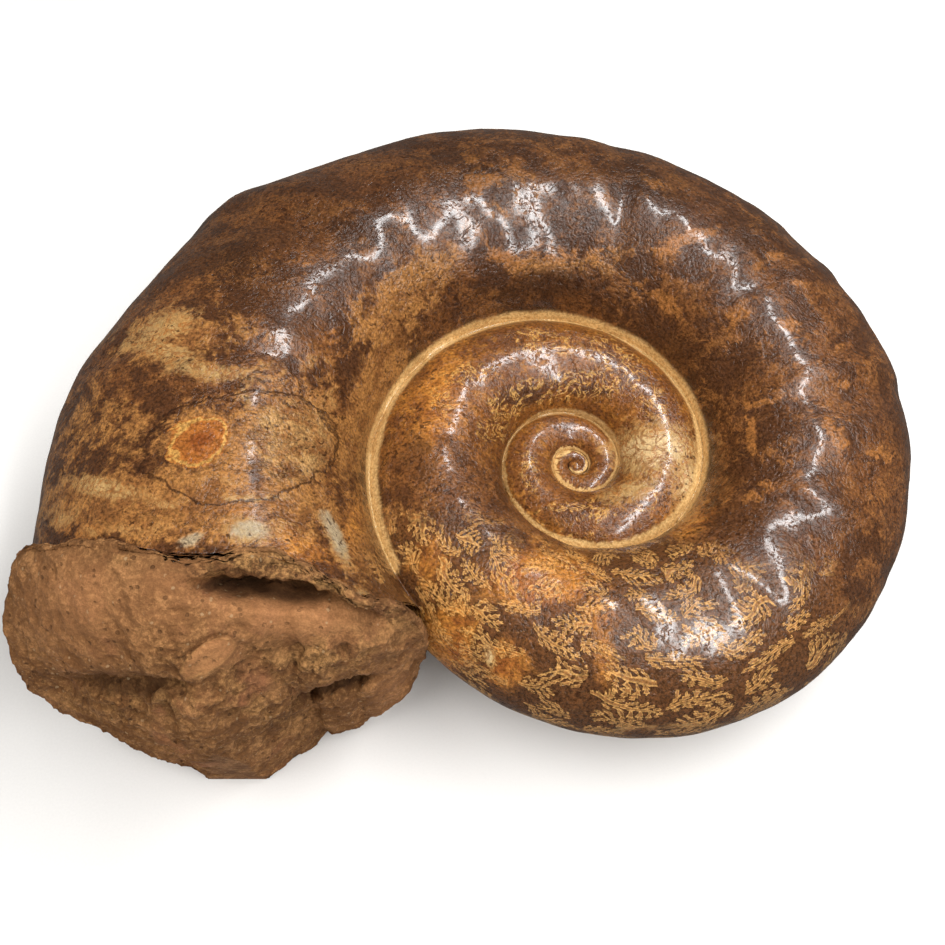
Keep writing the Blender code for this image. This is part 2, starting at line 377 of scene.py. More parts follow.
def settleRings(shell):
    # gives each ring the whorl's section, its bulges, and the slanted broken mouth
    mesh = shell.data
    middle = mouthMiddle()
    turns, shares = readLayer(mesh, "turn"), readLayer(mesh, "dish")
    for vert, turn, share, angle in zip(mesh.vertices, turns, shares, roundAngles(mesh)):
        spot = skinPoint(turn, angle)
        if share < 1.0:
            spot = middle + (spot - middle) * share
            spot.y += dishSink(share)
        vert.co = spot
    mesh.update()


def closeEnds(shell):
    activate(shell)
    mesh = shell.data
    bpy.ops.object.mode_set(mode="EDIT")
    bpy.ops.mesh.select_all(action="DESELECT")
    bm = bmesh.from_edit_mesh(mesh)
    dishLayer = bm.verts.layers.float["dish"]
    for vert in bm.verts:
        vert.select = vert[dishLayer] == 0.0
    bm.select_flush(True)
    bmesh.update_edit_mesh(mesh)
    bpy.ops.mesh.merge(type="CENTER")
    bpy.ops.mesh.select_all(action="DESELECT")
    bpy.ops.mesh.select_non_manifold()
    bpy.ops.mesh.edge_face_add()
    bpy.ops.mesh.select_all(action="SELECT")
    bpy.ops.mesh.normals_make_consistent(inside=False)
    bpy.ops.object.mode_set(mode="OBJECT")


def paintSkinMap(shell):
    # the skin's own map: u runs along the coil in turns, v round the whorl with 0 at the outer edge
    mesh = shell.data
    v = roundAngles(mesh) / (2.0 * math.pi)
    corners = np.empty(len(mesh.loops), dtype=np.int64)
    mesh.loops.foreach_get("vertex_index", corners)
    starts = np.empty(len(mesh.polygons), dtype=np.int64)
    mesh.polygons.foreach_get("loop_start", starts)
    cornerV = v[corners]
    highest = np.maximum.reduceat(cornerV, starts)
    lowest = np.minimum.reduceat(cornerV, starts)
    totals = np.diff(np.append(starts, len(corners)))
    wraps = np.repeat((highest - lowest) > 0.5, totals)
    cornerV = np.where(wraps & (cornerV < 0.0), cornerV + 1.0, cornerV)
    cornerU = readLayer(mesh, "turn")[corners]
    skin = mesh.uv_layers.new(name="skin")
    skin.data.foreach_set("uv", np.stack([cornerU, cornerV], -1).astype(np.float32).ravel())


def lumpiness(places, often, seed):
    shift = Vector((seed * 3.1, seed * 1.7, seed * 0.9))
    return np.array([noise.noise(Vector(p) * often + shift) for p in places])


def sinkSkin(shell):
    # low ribs, single folds and lumps, all pressed inwards
    mesh = shell.data
    places = readPlaces(mesh)
    turn = readLayer(mesh, "turn")
    degrees = np.abs(np.degrees(roundAngles(mesh)))
    size = np.exp(coil["growth"] * turn + coil["bend"] * turn * turn)
    sway, often = dips["ribSway"]
    lean = turn + sway * np.sin(turn * often) + dips["ribSlant"] * (degrees - dips["ribSide"][0])
    nearest = np.min(np.abs(lean[:, None] - np.array(dips["ribs"])[None, :]), axis=1)
    depth = dips["ribDepth"] * bell(degrees, *dips["ribSide"]) * (1.0 - bell(nearest, 0.0, dips["ribWidth"]))
    depth *= turn > dips["firstRib"]
    share, start, length = dips["faint"]
    depth *= share + (1.0 - share) * climb(turn, start, length)
    for middle, width, share in dips["uneven"]:
        depth *= 1.0 + share * bell(turn, middle, width)
    end, length = dips["ribsEnd"]
    depth *= climb(turn, end, -length)
    for middle, width, fold in dips["folds"]:
        depth += fold * bell(degrees, *dips["foldSide"]) * bell(lean, middle, width)
    depth *= size
    for seed, (often, height) in enumerate(dips["lumps"]):
        lumps = dips["lumpFloor"] + lumpiness(places, often, seed + 1)
        depth += height * lumps * np.minimum(1.0, dips["smallCoil"] + size)
    share, start, length = dips["calmMouth"]
    depth *= 1.0 - share * climb(turn, start, length)
    depth *= readLayer(mesh, "dish") > 0.99
    sunk = places - readNormals(mesh) * np.maximum(depth, 0.0)[:, None]
    writePlaces(mesh, keepInside(sunk))


def addFirstChamber(shell):
    # the small ball that the coil starts from, melted into it with the whorls
    radius, flat = coil["firstChamber"]
    deselectAll()
    bpy.ops.mesh.primitive_uv_sphere_add(segments=32, ring_count=16, radius=radius, location=coil["centre"])
    ball = nameActive("first_chamber")
    ball.scale = (1.0, 1.0, flat)
    bpy.ops.object.transform_apply(location=True, rotation=True, scale=True)
    skin = ball.data.uv_layers.new(name="skin")
    skin.data.foreach_set("uv", [coil["firstTurn"], 0.25] * len(ball.data.loops))
    ball.data.uv_layers.remove(ball.data.uv_layers["UVMap"])
    melt = shell.modifiers.new("melt", "BOOLEAN")
    melt.operation = "UNION"
    melt.solver = "EXACT"
    melt.use_self = True
    melt.object = ball
    applySteps(shell)
    bpy.data.objects.remove(ball)


def sign(operation, turned=False):
    # one of the signs of a sum, which adds a Math node
    def write(self, *others):
        values = (*others, self) if turned else (self, *others)
        return self.bench.maths(operation, *values)
    return write


class Flow:
    # one value on its way through a material
    def __init__(self, bench, end):
        self.bench = bench
        self.end = end

    __add__ = sign("ADD")
    __radd__ = sign("ADD", turned=True)
    __sub__ = sign("SUBTRACT")
    __rsub__ = sign("SUBTRACT", turned=True)
    __mul__ = sign("MULTIPLY")
    __rmul__ = sign("MULTIPLY", turned=True)
    __truediv__ = sign("DIVIDE")
    __rtruediv__ = sign("DIVIDE", turned=True)
    __pow__ = sign("POWER")
    __abs__ = sign("ABSOLUTE")
    __gt__ = sign("GREATER_THAN")


class Bench:
    # the nodes of one material
    def __init__(self, name):
        self.material = bpy.data.materials.new(name)
        self.material.use_nodes = True
        self.tree = self.material.node_tree
        self.tree.nodes.clear()

    def add(self, kind, settings, sockets, out=0):
        made = self.tree.nodes.new("ShaderNode" + kind)
        for key, value in settings.items():
            setattr(made, key, value)
        for key, value in sockets.items():
            if isinstance(value, Flow):
                self.tree.links.new(value.end, made.inputs[key])
            else:
                made.inputs[key].default_value = value
        return Flow(self, made.outputs[out]) if len(made.outputs) else made

    def maths(self, operation, *values):
        return self.add("Math", {"operation": operation}, dict(enumerate(values)))

    def floor(self, value):
        return self.maths("FLOOR", value)

    def most(self, one, other):
        return self.maths("MAXIMUM", one, other)

    def within(self, value):
        # kept between 0 and 1
        return self.add("Clamp", {}, {0: value})

    def ramp(self, value, low, high):
        # 0 below low, 1 above high, smooth between
        return self.add("MapRange", {"interpolation_type": "SMOOTHSTEP"}, {0: value, 1: low, 2: high})

    def near(self, value, middle, far, close):
        # 0 where the value is far from the middle, 1 where it is close
        return self.ramp(abs(value - middle), far, close)

    def point(self, x, y, z):
        return self.add("CombineXYZ", {}, {0: x, 1: y, 2: z})

    def parts(self, vector):
        return [self.add("SeparateXYZ", {}, {0: vector}, out=i) for i in range(3)]

    def scaled(self, vector, factor):
        # a vector made longer or shorter, or a colour made lighter or darker
        return self.add("VectorMath", {"operation": "SCALE"}, {0: vector, 3: factor})

    def moved(self, vector, other):
        return self.add("VectorMath", {"operation": "ADD"}, {0: vector, 1: other})

    def noise(self, vector, scale, detail, roughness, distortion=0.0, out=0):
        sockets = {"Vector": vector, "Scale": scale, "Detail": detail, "Roughness": roughness}
        sockets["Distortion"] = distortion
        return self.add("TexNoise", {"noise_dimensions": "3D"}, sockets, out)

    def chance(self, x, y, z):
        # a random number for each whole-numbered place
        return self.add("TexWhiteNoise", {"noise_dimensions": "3D"}, {"Vector": self.point(x, y, z)})

    def blend(self, factor, one, other):
        return self.add("Mix", {"data_type": "RGBA"}, {0: factor, 6: one, 7: other}, out=2)

    def mask(self, name):
        return self.add("Attribute", {"attribute_name": name}, {}, out=2)

    def finish(self, sockets, rise=None):
        # the surface itself, with its fine relief in metres
        if rise:
            relief = {"Strength": 1.0, "Distance": 1.0, "Height": rise}
            sockets["Normal"] = self.add("Bump", {}, relief)
        shader = self.add("BsdfPrincipled", {}, sockets)
        self.add("OutputMaterial", {}, {"Surface": shader})
        return self.material


def paint(red, green, blue):
    # a colour as the eye reads it, 0 to 255, turned into light
    light = []
    for part in (red / 255.0, green / 255.0, blue / 255.0):
        light.append(part / 12.92 if part <= 0.04045 else ((part + 0.055) / 1.055) ** 2.4)
    return (*light, 1.0)


def paintAll(colours):
    return {name: paint(*colour) for name, colour in colours.items()}


# where each colour or pattern shows, in the picture's points: x, y, half length, half width,
# degrees, strength
patches = {
    "ochre": (
        (480, 178, 26, 20, -30, 0.8), (515, 165, 20, 12, -20, 0.6), (552, 195, 9, 12, 0, 0.6),
        (600, 200, 15, 12, -40, 0.7), (650, 180, 24, 8, -35, 0.6), (692, 238, 34, 8, 20, 0.9),
        (440, 195, 18, 8, -20, 0.5), (390, 215, 30, 10, -15, 0.5), (560, 252, 46, 12, 0, 0.7),
        (500, 258, 24, 18, 0, 0.7), (640, 285, 22, 14, -40, 0.6), (668, 303, 25, 9, -42, 0.9),
        (770, 258, 9, 15, -55, 0.8), (795, 282, 16, 9, -30, 0.6), (735, 320, 20, 10, 20, 0.6),
        (790, 325, 26, 10, -20, 0.7), (840, 345, 12, 9, 0, 0.6), (751, 435, 5, 30, 5, 1.0),
        (766, 402, 20, 4, 10, 1.0), (835, 430, 25, 17, -30, 0.7), (880, 455, 22, 10, -10, 0.7),
        (845, 385, 16, 6, 0, 0.7), (760, 492, 22, 12, 30, 0.6), (722, 500, 14, 10, 0, 0.5),
        (330, 340, 14, 20, 0, 0.5), (820, 500, 20, 8, -20, 0.5), (880, 500, 12, 16, 0, 0.5),
        (700, 545, 20, 10, 0, 0.4), (375, 190, 20, 6, 0, 0.5), (300, 260, 20, 10, 0, 0.4),
        (80, 530, 34, 12, 0, 0.7), (160, 510, 30, 8, 10, 0.5), (230, 508, 50, 8, 0, 0.7),
    ),
    "tan": (
        (200, 508, 150, 34, -3, 1.1), (372, 395, 120, 26, 69, 0.8), (180, 338, 80, 26, 8, 0.7),
        (402, 296, 62, 26, 38, 0.8), (290, 430, 66, 56, 0, 0.8), (210, 440, 60, 40, 0, 0.7),
        (360, 540, 30, 60, 25, 0.8), (500, 190, 60, 24, 0, 0.4), (560, 262, 90, 20, 4, 0.5),
        (700, 420, 14, 60, 5, 0.3), (640, 560, 120, 12, 12, 0.3), (100, 425, 76, 50, -15, 0.50),
    ),
    "dark": (
        (460, 158, 22, 8, 0, 0.9), (400, 186, 17, 12, 0, 1.0), (330, 186, 20, 11, 0, 0.9),
        (240, 205, 26, 10, 20, 0.6), (200, 262, 26, 11, 10, 0.8), (240, 270, 15, 8, 0, 0.6),
        (280, 235, 50, 26, 0, 0.6), (285, 310, 55, 28, -20, 0.6), (560, 190, 20, 8, 0, 0.6),
        (680, 210, 20, 14, 0, 0.6), (556, 284, 42, 15, 0, 0.8), (662, 345, 40, 26, -45, 0.7),
        (720, 300, 18, 14, 0, 0.5), (903, 430, 10, 26, 0, 0.9), (771, 420, 16, 22, 0, 0.8),
        (750, 530, 46, 34, 0, 0.8), (110, 412, 50, 22, -15, 0.35), (118, 338, 18, 12, 0, 0.8),
        (125, 455, 30, 10, 0, 0.35), (830, 640, 34, 16, 30, 0.5), (558, 690, 40, 7, 0, 1.0),
        (640, 695, 60, 20, 0, 0.6), (640, 640, 60, 30, 0, 0.4), (690, 590, 50, 35, 0, 0.5),
        (820, 280, 22, 14, -30, 0.4), (660, 590, 30, 20, 0, 0.4), (520, 395, 34, 11, 12, 0.8),
        (585, 390, 30, 8, -8, 0.6), (415, 460, 28, 36, 0, 0.5), (481, 642, 7, 14, -14, 1.6),
        (480, 560, 40, 18, -10, 0.5),
    ),
    "paleAndReflection": (
        (160, 330, 60, 20, 20, 0.75), (170, 352, 44, 12, -12, 0.8), (210, 372, 64, 12, -8, 0.75),
        (225, 335, 40, 12, 6, 0.5), (246, 396, 10, 16, 0, 0.8), (290, 366, 46, 12, 0, 0.5),
        (330, 400, 24, 20, 0, 0.45), (105, 488, 46, 12, -12, 0.9), (165, 505, 30, 7, -4, 0.7),
        (60, 518, 34, 14, 0, 0.6), (130, 530, 60, 8, 4, 0.5), (285, 522, 40, 10, -20, 0.6),
        (215, 480, 40, 6, -8, 0.5), (312, 470, 14, 24, 0, 0.4), (345, 575, 34, 8, -40, 0.5),
        (250, 530, 30, 16, 0, 0.9), (335, 540, 10, 38, 28, 0.9), (368, 600, 22, 6, -42, 0.9),
        (300, 530, 24, 20, 0, 0.5), (50, 515, 26, 25, 0, 0.5), (250, 498, 56, 5, 0, 0.8),
        (655, 450, 48, 26, 8, 1.2), (630, 490, 42, 14, 15, 0.8), (688, 480, 16, 40, -10, 1.0),
        # the last three spots below, thin bands along the lower outline, are a painted reflection of the
        # floor
        (489, 656, 6, 12, 10, 1.2), (490, 690, 30, 10, -30, 0.4), (640, 728, 120, 4, 2, 0.6),
        (760, 708, 40, 4, 24, 0.55), (520, 716, 40, 4, -16, 0.55),
    ),
    "amber": (
        (540, 580, 62, 32, 0, 0.9), (450, 640, 36, 36, 0, 0.9), (505, 665, 28, 28, 0, 0.8),
        (530, 568, 26, 14, 0, 1.0), (600, 612, 26, 30, 0, 0.6), (300, 548, 46, 20, -30, 0.5),
        (352, 525, 60, 18, 70, 0.4), (430, 560, 30, 40, 0, 0.6), (570, 700, 30, 10, 0, 0.4),
        (605, 660, 14, 44, 0, 0.6), (530, 640, 40, 10, 0, 0.4), (440, 400, 30, 60, -20, 0.5),
        (690, 520, 30, 16, 30, 0.6), (650, 360, 40, 20, -35, 0.4),
    ),
    "purple": (
        (100, 420, 60, 40, -15, 0.3), (690, 215, 40, 24, 0, 0.7), (790, 560, 55, 45, 0, 0.8),
        (820, 520, 30, 30, 0, 0.6), (880, 410, 30, 30, 0, 0.6), (640, 215, 60, 18, 0, 0.6),
        (730, 250, 30, 30, 0, 0.5), (460, 160, 30, 12, 0, 0.8), (485, 640, 10, 20, 0, 1.0),
        (760, 600, 60, 40, 30, 0.7), (340, 185, 60, 20, 0, 0.6), (700, 520, 30, 30, 0, 0.6),
    ),
    "blue": (
        (190, 540, 17, 7, 20, 1.0), (252, 530, 22, 11, 0, 1.0), (335, 535, 32, 8, -62, 1.0),
        (150, 330, 20, 8, 0, 0.5), (690, 215, 16, 12, 0, 0.3), (368, 602, 18, 4, -42, 0.8),
    ),
    "lace": (
        (540, 342, 44, 13, -4, 1.0), (618, 362, 36, 18, -38, 1.2), (565, 386, 62, 13, 6, 1.4),
        (470, 374, 28, 12, 12, 1.0), (510, 400, 24, 18, 40, 1.1), (445, 405, 22, 24, 0, 0.8),
        (490, 432, 20, 18, 0, 1.1), (655, 410, 16, 34, 10, 0.9), (600, 508, 74, 14, 8, 1.0),
        (430, 500, 26, 40, 20, 1.0), (470, 545, 40, 16, -20, 1.0), (545, 545, 60, 12, 8, 1.0),
        (530, 470, 14, 36, 0, 0.8), (650, 500, 22, 12, 20, 1.0), (420, 460, 18, 14, 0, 0.7),
        (640, 440, 20, 12, 0, 0.8),
    ),
    # painted shade: the far top band of the last whorl and the inner wall below it, which face away from the
    # light, partly their own darker colour
    "shade": (
        (470, 165, 110, 34, -4, 1.0), (620, 185, 110, 44, 14, 1.0), (330, 215, 90, 30, -24, 0.9),
        (230, 250, 60, 30, -34, 0.8), (560, 285, 90, 18, 6, 0.7), (740, 250, 60, 40, 40, 0.6),
    ),
    "leaves": (
        (640, 655, 200, 78, 0, 1.3), (460, 600, 90, 70, -30, 1.3), (780, 610, 70, 60, 30, 0.8),
        (620, 580, 120, 40, 0, 1.2),
    ),
}

# the flat growth of stone near the mouth and the agate eye in it, in the picture's points
growth = {
    "edge": (242, 447, 98, 54, 6),
    "eye": (200, 440, 27, 20, 24),
    "lumps": (290, 440, 44, 46, 10),
}


def upperSide(places):
    # a place below the coil's middle plane is swapped for the one above it
    axis = np.array(coilMatrix.to_3x3() @ Vector((0.0, 0.0, 1.0)))
    height = (places - np.array(coil["centre"])) @ axis
    return places - 2.0 * np.minimum(height, 0.0)[:, None] * axis


def spotMask(seen, spot):
    # 0 in a spot's middle, 1 at its edge, and no more than 3 outside it
    return np.minimum(3.0, np.hypot(*spotShare(seen, spot)))


def patchDepth(seen, spots):
    # how strongly each point lies in any of the patches
    total = np.zeros(len(seen[0]))
    for spot in spots:
        along, beside = spotShare(seen, spot)
        total = np.maximum(total, spot[5] * np.exp(-0.7 * (along ** 2 + beside ** 2)))
    return total


def paintMask(mesh, name, values):
    layer = mesh.attributes.new(name, "FLOAT", "POINT")
    layer.data.foreach_set("value", np.asarray(values, dtype=np.float32))


# the line between the whorls: first turn, turns in all, points on it, and degrees between tries
seam = {"start": -3.6, "length": 3.72, "points": 1300, "degrees": 0.45}


def seamLine():
    # where each whorl's inner wall meets the whorl before it
    line = []
    for step in range(seam["points"]):
        turn = seam["start"] + seam["length"] * step / (seam["points"] - 1)
        size = venterRadius(turn)
        before = venterRadius(turn - 1.0)
        middle = crestShare(swelling(turn - 1.0))
        reach = 1.0 + swelling(turn - 1.0) - middle
        crest = crestShare(swelling(turn))
        for i in range(round(90.0 / seam["degrees"])):
            angle = math.radians(90.0 + seam["degrees"] * i)
            radius = size * (crest + (crest - innerWall(turn)) * math.cos(angle))
            height = size * coil["halfThickness"] * math.sin(angle)
            out = (radius / before - middle) / reach
            up = height / (before * coil["halfThickness"])
            if out * out + up * up < 1.0:
                line.append((turn, skinPoint(turn, angle)))
                break
    return line


def paintShell(shell):
    mesh = shell.data
    places = readPlaces(mesh)
    seen = pictureSpots(upperSide(places))
    for name, spots in patches.items():
        paintMask(mesh, name, patchDepth(seen, spots))
    for name, spot in growth.items():
        paintMask(mesh, name, spotMask(seen, spot))
    line = seamLine()
    tree = KDTree(len(line))
    for i, (_, spot) in enumerate(line):
        tree.insert(spot, i)
    tree.balance()
    away = np.empty(len(places))
    nearTurn = np.empty(len(places))
    for i, place in enumerate(places):
        _, nearest, distance = tree.find(place)
        away[i] = distance
        nearTurn[i] = line[nearest][0]
    paintMask(mesh, "seam", away)
    paintMask(mesh, "seamTurn", nearTurn)


# the folded edges of the chamber walls, which show as leaves through the polish
sutures = {
    "perTurn": 25.0,  # chamber walls in one turn
    "rows": 26.0,  # leaves round the whorl
    "wallGap": 33.0,  # nominal millimetres between walls
    "rowGap": 13.5,
    "fingers": 4.6,  # between the fingers of a leaf
    "teeth": 1.75,
    "lean": 0.60,  # how far a leaf may lean
    "wander": 0.70,  # how far the walls stray
    "stray": (9.0, 3.0),  # how far a leaf may lie from its place, along and across
    "length": (17.0, 15.0),  # of the shortest leaf, and what chance may add
    "wave": (0.25, 0.9),  # how often and how far a stem bends
    "slant": 0.65,  # how far the fingers point back
    "fingerLength": 8.2,
    "stem": 1.25,
}


def leafDepth(b, u, v):
    # above 0 inside a leaf, in nominal millimetres
    along = u * sutures["perTurn"]
    across = v * sutures["rows"]
    drift = b.parts(b.noise(b.point(along, across * 0.5, 0.0), 1.0, 2.0, 0.5, out=1))
    along = along + (drift[0] - 0.5) * sutures["wander"]
    across = across + (drift[1] - 0.5) * (sutures["wander"] * 3.0)
    row = b.floor(across)
    along = along + b.chance(row, 2.0, 1.0)
    column = b.floor(along)
    odd = b.maths("FRACT", row * 0.5) * 2.0
    part = along - column
    x = (part + odd * (1.0 - part * 2.0)) * sutures["wallGap"]
    y = (across - row - 0.5) * sutures["rowGap"]
    lucky = b.chance(column, row, 4.0)
    strayAlong, strayAcross = sutures["stray"]
    often, bend = sutures["wave"]
    shortest, added = sutures["length"]
    x = x + (b.chance(column, row, 11.0) - 0.5) * strayAlong
    y = y + (b.chance(column, row, 13.0) - 0.5) * strayAcross
    y = y + (lucky - 0.5) * (x - 12.0) * sutures["lean"]
    y = y + b.maths("SINE", x * often + lucky * 6.0) * bend
    length = shortest + added * lucky
    a = abs(y)
    side = y > 0.0
    gap = sutures["fingers"]
    q = (x + side * (0.5 * gap) - a * sutures["slant"]) / gap
    k = b.floor(q)
    at = (k + 0.5) * gap / length
    luckyFinger = b.chance(k + side * 17.0, column * 5.0 + row, 7.0)
    grown = b.within(at * 6.0) ** 0.5 * b.within((1.04 - at) * 2.0) ** 0.6
    reach = grown * (luckyFinger * 0.6 + 0.60) * sutures["fingerLength"] + 0.05
    g = a / reach
    beside = abs(q - k - 0.5) * (gap * 0.84)
    beat = (a - beside * 0.75) / sutures["teeth"] + luckyFinger
    tooth = 0.5 - 0.5 * b.maths("COSINE", beat * (2.0 * math.pi))
    wide = (0.55 + 1.50 * b.within(g * 1.6)) * b.within((1.0 - g) * 2.4) ** 0.6 * (1.0 - 0.58 * tooth)
    finger = wide - beside - b.most(g - 1.0, 0.0) * reach
    stem = sutures["stem"] * b.within((1.05 - x / length) * 1.6) - a - b.most(x - length * 1.05, 0.0)
    return b.most(finger, stem)


polish = {
    # how many per metre, detail, roughness and distortion
    "noise": {
        "drift": (42.0, 3.0, 0.55),
        "broad": (22.0, 3.0, 0.6),
        "cloud": (80.0, 4.0, 0.62, 0.35),
        "fleck": (260.0, 3.0, 0.66, 0.4),
        "fine": (780.0, 2.0, 0.7),
        "curl": (330.0, 2.0, 0.5, 1.6),
        "crack": (150.0, 3.0, 0.6, 1.2),
        "thread": (150.0, 3.0, 0.55, 1.6),
        "vein": (62.0, 3.0, 0.6, 1.5),
        "hollow": (420.0, 2.0, 0.5),
    },
    # heights of the fine relief in metres, and how the light comes back
    "finish": {
        "cloud": 0.0011,
        "fleck": 0.0006,
        "fine": 0.00026,
        "curl": 0.0005,
        "growth": 0.00025,
        "bend": 0.013,  # how far the pattern is pulled about
        "tint": (0.70, 0.59, 0.38),
        "roughness": (0.27, 0.10),  # of the smoothest places, and what the grain adds
        "shine": 0.34,
        "coat": 0.6,
        "coatRoughness": 0.16,
    },
    "colours": {
        "dark": (86, 56, 38),
        "brown": (118, 78, 50),
        "light": (148, 104, 68),
        "tan": (190, 142, 94),
        "ochre": (172, 120, 74),
        "purple": (96, 64, 50),
        "amber": (226, 160, 84),
        "amberDeep": (176, 108, 52),
        "innerBrown": (148, 98, 50),
        "innerDark": (118, 76, 46),
        "innerLight": (188, 134, 68),
        "paleAndReflection": (218, 190, 150),
        "paleGrey": (196, 170, 132),
        "calcite": (232, 212, 186),
        "blue": (186, 182, 180),
        "leaf": (174, 130, 88),
        "leafEdge": (232, 192, 138),
        "leafRim": (56, 32, 18),
        "leafGround": (96, 66, 46),
        "lace": (228, 188, 128),
        "laceDark": (66, 38, 22),
        "seam": (248, 222, 184),
        "seamDeep": (230, 194, 144),
        "eye": (142, 82, 42),
        "eyeGold": (178, 116, 62),
        "eyeRim": (214, 174, 112),
    },
}


def makeSkinMaterial():
    b = Bench("polished_skin")
    n, f, c = polish["noise"], polish["finish"], paintAll(polish["colours"])
    spot = b.add("TexCoord", {}, {}, out=3)
    u, v, _ = b.parts(b.add("UVMap", {"uv_map": "skin"}, {}))
    drift = b.moved(b.noise(spot, *n["drift"], out=1), (-0.5, -0.5, -0.5))
    bent = b.moved(spot, b.scaled(drift, f["bend"]))
    broad = b.noise(bent, *n["broad"])
    cloud = b.noise(bent, *n["cloud"])
    fleck = b.noise(bent, *n["fleck"])
    fine = b.noise(spot, *n["fine"])
    curl = b.noise(bent, *n["curl"])
    worm = b.near(curl, 0.5, 0.05, 0.0)
    crack = b.near(b.noise(bent, *n["crack"]), 0.47, 0.022, 0.0)
    tilt = (cloud - 0.5) * 1.6 + (fleck - 0.5) * 1.3

    def patch(name, ragged, low, high):
        return b.ramp(b.mask(name) + tilt * ragged, low, high)

    inner = b.ramp(u + (broad - 0.5) * 0.12, -0.90, -1.02)
    grit = b.ramp(fine, 0.34, 0.66)

    ground = b.blend(b.ramp(broad * 0.35 + cloud * 0.4 + fleck * 0.25, 0.47, 0.53), c["dark"], c["brown"])
    ground = b.blend(b.ramp(fleck * 0.5 + cloud * 0.5, 0.53, 0.58) * 0.7, ground, c["light"])
    ground = b.blend(patch("purple", 0.6, 0.35, 0.65) * 0.7, ground, c["purple"])
    tan = b.blend(b.ramp(cloud * 0.6 + fleck * 0.4, 0.43, 0.55), c["light"], c["tan"])
    ground = b.blend(patch("tan", 0.6, 0.30, 0.60) * 0.85, ground, tan)
    ground = b.blend(worm * b.ramp(cloud, 0.40, 0.56) * 0.75, ground, c["light"])
    ground = b.blend(crack * b.ramp(broad, 0.40, 0.56) * 0.8, ground, c["dark"])
    innerGround = b.blend(b.ramp(broad * 0.4 + cloud * 0.6, 0.42, 0.58), c["innerDark"], c["innerBrown"])
    innerGround = b.blend(b.ramp(fleck, 0.50, 0.64) * 0.5, innerGround, c["innerLight"])
    ground = b.blend(inner, ground, innerGround)

    amber = patch("amber", 0.4, 0.15, 0.75)
    gold = b.blend(b.ramp(cloud * 0.7 + fleck * 0.3, 0.40, 0.60), c["amberDeep"], c["amber"])
    ground = b.blend(amber * 0.85, ground, gold)
    ground = b.blend(patch("dark", 0.7, 0.40, 0.62) * 0.75, ground, c["dark"])
    ground = b.blend(patch("ochre", 0.9, 0.42, 0.70) * 0.75, ground, c["ochre"])

    # the leaves of the chamber walls
    size = b.maths("EXPONENT", (u + 0.75) * 0.9)
    depth = leafDepth(b, u, v) + (fine - 0.5) * 0.5
    line = 0.50 / size
    clear = patch("leaves", 0.35, 0.35, 0.75)
    inside = b.ramp(depth, -0.10, 0.16)
    edge = b.ramp(depth, -0.10, 0.10) * (1.0 - b.ramp(depth, line, line * 1.7))
    rim = b.ramp(depth, -1.7 * line, -0.8 * line) * (1.0 - b.ramp(depth, -0.3 * line, 0.02))
    sameColour = b.within(amber * 0.8 + inner * 0.85)
    level = b.noise(bent, *n["thread"]) * 3.4
    thread = abs(level - b.floor(level) - 0.5)
    lace = b.most(b.mask("lace"), 0.40) * inner
    threads = b.ramp(lace + tilt * 0.5, 0.46, 0.74)
    leafGround = b.blend(sameColour, b.blend(grit * 0.4, c["leafGround"], c["brown"]), ground)
    leafFill = b.blend(0.25 + 0.6 * sameColour, c["leaf"], b.scaled(ground, 1.15))
    leaves = b.blend(inside, leafGround, leafFill)
    leaves = b.blend(rim * (0.35 + 0.4 * inner), leaves, c["leafRim"])
    leaves = b.blend(edge * 0.6, leaves, c["leafEdge"])
    colour = b.blend(clear * (1.0 - inner), ground, leaves)
    colour = b.blend(threads * b.ramp(thread, 0.28, 0.44) * 0.55, colour, c["laceDark"])
    colour = b.blend(threads * b.ramp(thread, 0.14, 0.07) * 0.65, colour, c["lace"])

    # pale places, a painted reflection of the floor along the lower outline, and the cream line between the
    # whorls
    paleAndReflection = patch("paleAndReflection", 0.8, 0.36, 0.70)
    milky = b.blend(b.ramp(cloud + fleck * 0.6, 0.72, 0.88), c["paleAndReflection"], c["paleGrey"])
    milky = b.blend(b.ramp(fleck * 0.5 + cloud * 0.5, 0.48, 0.56) * 0.5, milky, c["tan"])
    milky = b.blend(patch("paleAndReflection", 0.3, 0.80, 1.05), milky, c["calcite"])
    milky = b.blend(crack * 0.6, milky, c["light"])
    milky = b.blend(b.ramp(thread, 0.12, 0.05) * 0.60, milky, c["amberDeep"])
    vein = b.near(b.noise(bent, *n["vein"]), 0.5, 0.030, 0.012)
    milky = b.blend(vein * 0.7, milky, c["light"])
    colour = b.blend(paleAndReflection * (0.60 + 0.35 * b.ramp(b.mask("paleAndReflection") * 0.5 + cloud, 0.75, 1.02)), colour, milky)
    colour = b.blend(patch("blue", 0.6, 0.42, 0.90) * 0.80, colour, c["blue"])
    whorl = b.mask("seamTurn")
    wide = 0.0011 + 0.0027 * b.ramp(whorl, -1.0, -0.50)
    middle = b.near(whorl, -1.95, 0.35, 0.15)
    wide = wide + 0.0012 * b.near(whorl, -1.27, 0.20, 0.08) + 0.0009 * middle
    faint = 0.35 * b.near(whorl, -1.25, 0.45, 0.25)
    ragged = (cloud - 0.5) * 0.0026 * (1.0 - middle) + (fine - 0.5) * 0.0010
    ragged = ragged + (curl - 0.5) * (0.0024 + 0.0050 * middle)
    cream = 1.0 - b.ramp(b.mask("seam") + ragged, wide * 0.6, wide * 1.35)
    colour = b.blend(cream * (0.95 - faint), colour, b.blend(0.3 + 0.6 * grit, c["seamDeep"], c["seam"]))

